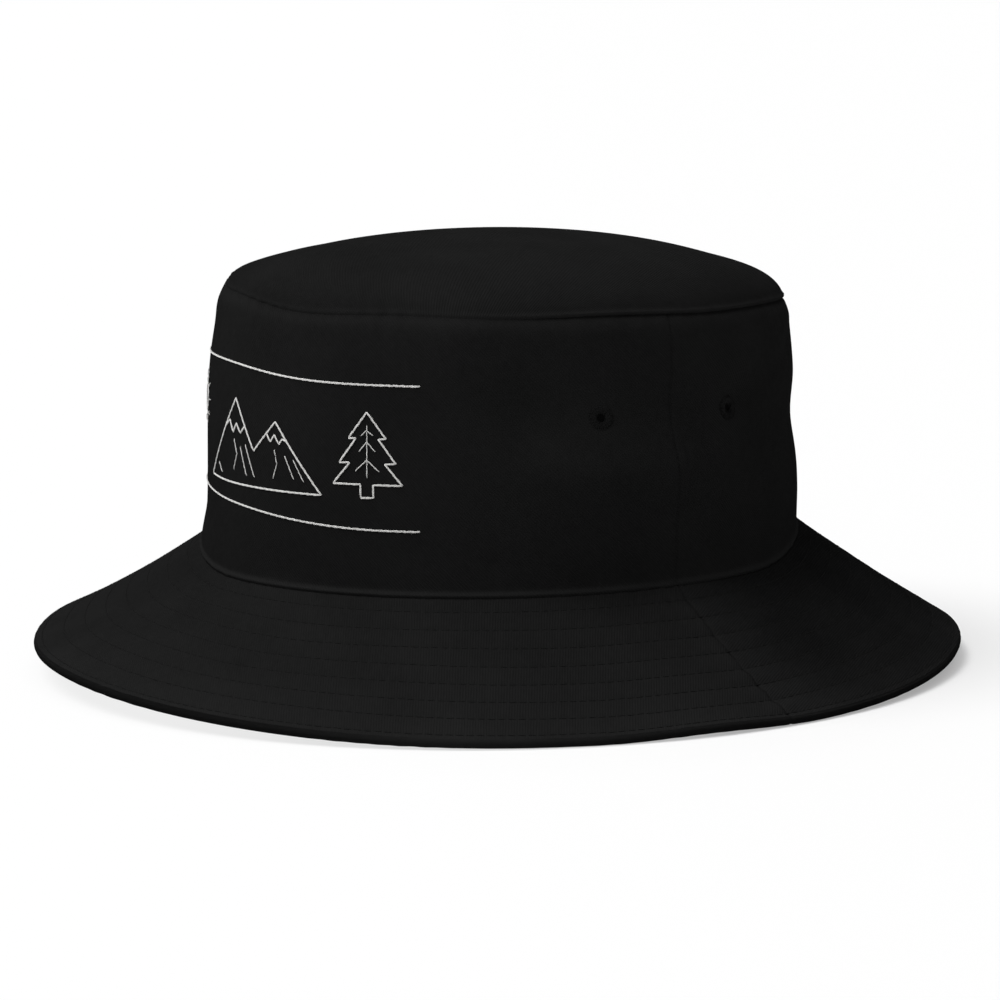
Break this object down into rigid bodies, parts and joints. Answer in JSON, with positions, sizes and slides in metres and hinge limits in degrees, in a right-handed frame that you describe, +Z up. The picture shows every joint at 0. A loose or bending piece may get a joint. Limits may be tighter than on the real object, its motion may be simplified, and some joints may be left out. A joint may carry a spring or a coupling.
{
  "type": "bucket hat",
  "caption": "Soft cotton-twill bucket hat with a flat-seamed crown, sewn ventilation eyelets, a sloping row-stitched brim and a line embroidery on the front.",
  "frame": {"origin": "on the surface the hat stands on, under the middle of the brim", "axes": "+Z up through the crown; the front of the hat faces -Y; the wearer's left is +X"},
  "size_m": [0.289, 0.313, 0.1401],
  "materials": {
    "black_twill": "matte cotton twill, black",
    "black_tape": "matte woven tape, black",
    "black_thread": "matte sewing thread, black",
    "white_thread": "glossy embroidery thread, off-white",
    "white_nonwoven": "matte nonwoven, off-white",
    "black_nonwoven": "matte nonwoven, charcoal",
    "white_satin": "soft satin ribbon, white"
  },
  "bodies": {
    "root": {"crown_tip": "black_twill", "crown_front_panel": "black_twill", "crown_back_panel": "black_twill", "eyelet_left_front": "black_thread", "eyelet_left_rear": "black_thread", "eyelet_right_front": "black_thread", "eyelet_right_rear": "black_thread", "brim_top_front": "black_twill", "brim_top_back": "black_twill", "brim_interlining": "white_nonwoven", "brim_under_front": "black_twill", "brim_under_back": "black_twill", "brim_stitch_row_1": "black_thread", "brim_stitch_row_2": "black_thread", "brim_stitch_row_3": "black_thread", "brim_stitch_row_4": "black_thread", "brim_stitch_row_5": "black_thread", "brim_stitch_row_6": "black_thread", "brim_stitch_row_7": "black_thread", "brim_stitch_row_8": "black_thread", "sweatband": "black_tape", "tip_seam_tape": "black_tape", "side_seam_tape_left": "black_tape", "side_seam_tape_right": "black_tape", "embroidery_backing": "black_nonwoven", "care_label": "white_satin", "embroidery_upper_line": "white_thread", "embroidery_lower_line": "white_thread", "embroidery_peaks": "white_thread", "embroidery_pine": "white_thread", "embroidery_sun": "white_thread"}
  },
  "joints": []
}
